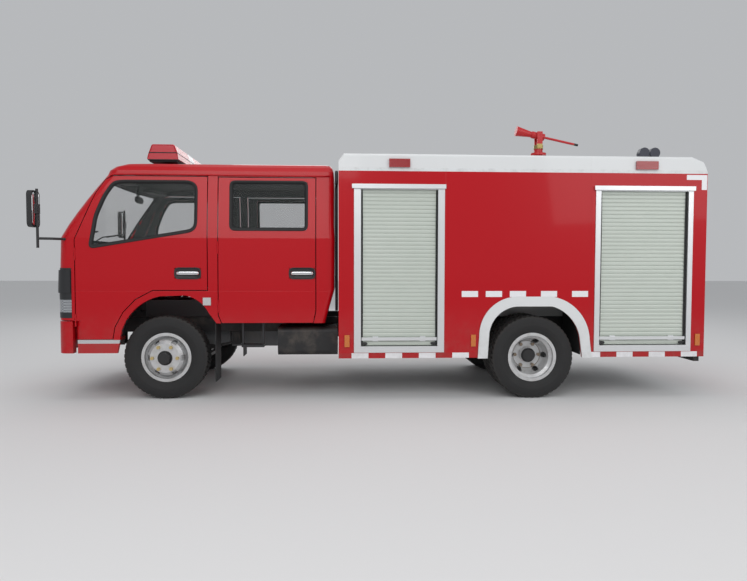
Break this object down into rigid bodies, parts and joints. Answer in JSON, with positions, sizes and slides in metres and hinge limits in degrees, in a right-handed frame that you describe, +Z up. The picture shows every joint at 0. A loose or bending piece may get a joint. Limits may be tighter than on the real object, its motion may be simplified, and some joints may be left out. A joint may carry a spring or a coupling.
{
  "type": "crew-cab fire truck",
  "caption": "Light airport fire truck with a crew cab, roller-shutter lockers, water tank and a swivelling roof monitor, on twin rear wheels.",
  "frame": {"origin": "on the ground, at the middle of the whole vehicle's length and width", "axes": "+X forward, +Y to the vehicle's left, +Z up"},
  "size_m": [6.041, 2.26, 2.6638],
  "materials": {
    "red_paint": "gloss red enamel",
    "pale_paint": "gloss grey-white enamel",
    "black_frame": "satin black chassis paint",
    "axle_black": "satin black paint on castings",
    "wheel_silver": "silver wheel paint",
    "tyre": "matt black rubber",
    "flap_rubber": "matt black rubber sheet",
    "engine_grey": "bare grey casting",
    "tank_black": "satin black",
    "exhaust_steel": "dull steel",
    "black_plastic": "grained black plastic",
    "lamp_clear": "clear lens over a bright bowl",
    "lamp_colour": "coloured lens",
    "lamp_dark": "dark blue-black housing",
    "window_glass": "lightly tinted glass",
    "seat_fabric": "dark woven cloth",
    "shutter_alloy": "satin anodised slats",
    "bright_alloy": "bright anodised",
    "bar_red": "red lens",
    "tank_grey": "grey primer",
    "monitor_red": "gloss red enamel"
  },
  "bodies": {
    "chassis": {"chassis_frame": "black_frame", "front_axle": "axle_black", "rear_axle": "axle_black", "leaf_springs": "axle_black", "powertrain": "engine_grey", "fuel_tank": "tank_black", "exhaust": "exhaust_steel", "mudflaps": "flap_rubber", "front_bumper": "red_paint", "grille": "black_plastic", "headlamps": "lamp_clear", "cab_shell": "red_paint", "windscreen": "window_glass", "dashboard": "black_plastic", "seats": "seat_fabric", "entry_steps": "red_paint", "mirrors": "black_plastic", "light_bar": "bar_red", "body_shell": "pale_paint", "body_sides": "red_paint", "roof_deck": "pale_paint", "water_tank": "tank_grey", "pump": "engine_grey", "shutter_frames": "bright_alloy", "arch_trims": "pale_paint", "monitor_base": "monitor_red", "work_lamps": "lamp_dark", "rear_ladder": "bright_alloy", "marker_lamps": "lamp_colour"},
    "knuckle_left": {"knuckle_left": "axle_black"},
    "knuckle_right": {"knuckle_right": "axle_black"},
    "tie_rod": {"tie_rod": "axle_black"},
    "steering_wheel": {"steering_wheel": "black_plastic"},
    "wheel_front_left": {"tyre_front_left": "tyre", "rim_front_left": "wheel_silver"},
    "wheels_rear_left": {"tyres_rear_left": "tyre", "rims_rear_left": "wheel_silver"},
    "door_front_left": {"door_front_left": "red_paint", "glass_front_left": "window_glass"},
    "door_rear_left": {"door_rear_left": "red_paint", "glass_rear_left": "window_glass"},
    "shutter_front_left": {"lift_bar_front_left": "bright_alloy", "curtain_front_left": "shutter_alloy"},
    "shutter_rear_left": {"lift_bar_rear_left": "bright_alloy", "curtain_rear_left": "shutter_alloy"},
    "wheel_front_right": {"tyre_front_right": "tyre", "rim_front_right": "wheel_silver"},
    "wheels_rear_right": {"tyres_rear_right": "tyre", "rims_rear_right": "wheel_silver"},
    "door_front_right": {"door_front_right": "red_paint", "glass_front_right": "window_glass"},
    "door_rear_right": {"door_rear_right": "red_paint", "glass_rear_right": "window_glass"},
    "shutter_front_right": {"lift_bar_front_right": "bright_alloy", "curtain_front_right": "shutter_alloy"},
    "shutter_rear_right": {"lift_bar_rear_right": "bright_alloy", "curtain_rear_right": "shutter_alloy"},
    "rear_hatch": {"rear_hatch": "red_paint"},
    "monitor_neck": {"monitor_neck": "monitor_red"},
    "monitor_barrel": {"monitor_barrel": "monitor_red"}
  },
  "joints": [
    {"name": "steer_left", "type": "hinge", "parent": "chassis", "child": "knuckle_left", "pos_m": [1.9645, 0.65, 0.374], "axis": [0, 0, 1], "range_deg": [-35, 35]},
    {"name": "steer_right", "type": "hinge", "parent": "chassis", "child": "knuckle_right", "pos_m": [1.9645, -0.65, 0.374], "axis": [0, 0, 1], "range_deg": [-35, 35]},
    {"name": "tie_rod_pivot", "type": "hinge", "parent": "knuckle_left", "child": "tie_rod", "pos_m": [1.7995, 0.65, 0.268], "axis": [0, 0, 1], "range_deg": [-35, 35]},
    {"name": "steering_wheel_turn", "type": "hinge", "parent": "chassis", "child": "steering_wheel", "pos_m": [2.4045, 0.43, 1.27], "axis": [-0.4695, 0, 0.8829], "range_deg": [-540, 540]},
    {"name": "wheel_front_left_spin", "type": "hinge", "parent": "knuckle_left", "child": "wheel_front_left", "pos_m": [1.9645, 0.762, 0.374], "axis": [0, 1, 0], "continuous": true},
    {"name": "wheels_rear_left_spin", "type": "hinge", "parent": "chassis", "child": "wheels_rear_left", "pos_m": [-1.3435, 0.747, 0.374], "axis": [0, 1, 0], "continuous": true},
    {"name": "door_front_left_hinge", "type": "hinge", "parent": "chassis", "child": "door_front_left", "pos_m": [2.7185, 0.929, 1], "axis": [0, 0, -1], "range_deg": [0, 70]},
    {"name": "door_rear_left_hinge", "type": "hinge", "parent": "chassis", "child": "door_rear_left", "pos_m": [1.4805, 0.929, 1], "axis": [0, 0, -1], "range_deg": [0, 70]},
    {"name": "shutter_front_left_lift", "type": "slide", "parent": "chassis", "child": "shutter_front_left", "axis": [0, 0, 1], "range_m": [0, 1.25], "deforming": ["curtain_front_left"]},
    {"name": "shutter_rear_left_lift", "type": "slide", "parent": "chassis", "child": "shutter_rear_left", "axis": [0, 0, 1], "range_m": [0, 1.25], "deforming": ["curtain_rear_left"]},
    {"name": "wheel_front_right_spin", "type": "hinge", "parent": "knuckle_right", "child": "wheel_front_right", "pos_m": [1.9645, -0.762, 0.374], "axis": [0, 1, 0], "continuous": true},
    {"name": "wheels_rear_right_spin", "type": "hinge", "parent": "chassis", "child": "wheels_rear_right", "pos_m": [-1.3435, -0.747, 0.374], "axis": [0, 1, 0], "continuous": true},
    {"name": "door_front_right_hinge", "type": "hinge", "parent": "chassis", "child": "door_front_right", "pos_m": [2.7185, -0.929, 1], "axis": [0, 0, 1], "range_deg": [0, 70]},
    {"name": "door_rear_right_hinge", "type": "hinge", "parent": "chassis", "child": "door_rear_right", "pos_m": [1.4805, -0.929, 1], "axis": [0, 0, 1], "range_deg": [0, 70]},
    {"name": "shutter_front_right_lift", "type": "slide", "parent": "chassis", "child": "shutter_front_right", "axis": [0, 0, 1], "range_m": [0, 1.25], "deforming": ["curtain_front_right"]},
    {"name": "shutter_rear_right_lift", "type": "slide", "parent": "chassis", "child": "shutter_rear_right", "axis": [0, 0, 1], "range_m": [0, 1.25], "deforming": ["curtain_rear_right"]},
    {"name": "rear_hatch_hinge", "type": "hinge", "parent": "chassis", "child": "rear_hatch", "pos_m": [-2.9225, 0, 1.93], "axis": [0, 1, 0], "range_deg": [0, 85]},
    {"name": "monitor_turn", "type": "hinge", "parent": "chassis", "child": "monitor_neck", "pos_m": [-1.6755, 0, 2.42], "axis": [0, 0, 1], "continuous": true},
    {"name": "monitor_pitch", "type": "hinge", "parent": "monitor_neck", "child": "monitor_barrel", "pos_m": [-1.6755, 0, 2.562], "axis": [0, -1, 0], "range_deg": [-30, 40]}
  ],
  "couplings": [
    {"joint": "steer_right", "follows": "steer_left", "ratio": 1},
    {"joint": "tie_rod_pivot", "follows": "steer_left", "ratio": -1},
    {"joint": "steering_wheel_turn", "follows": "steer_left", "ratio": 15}
  ]
}
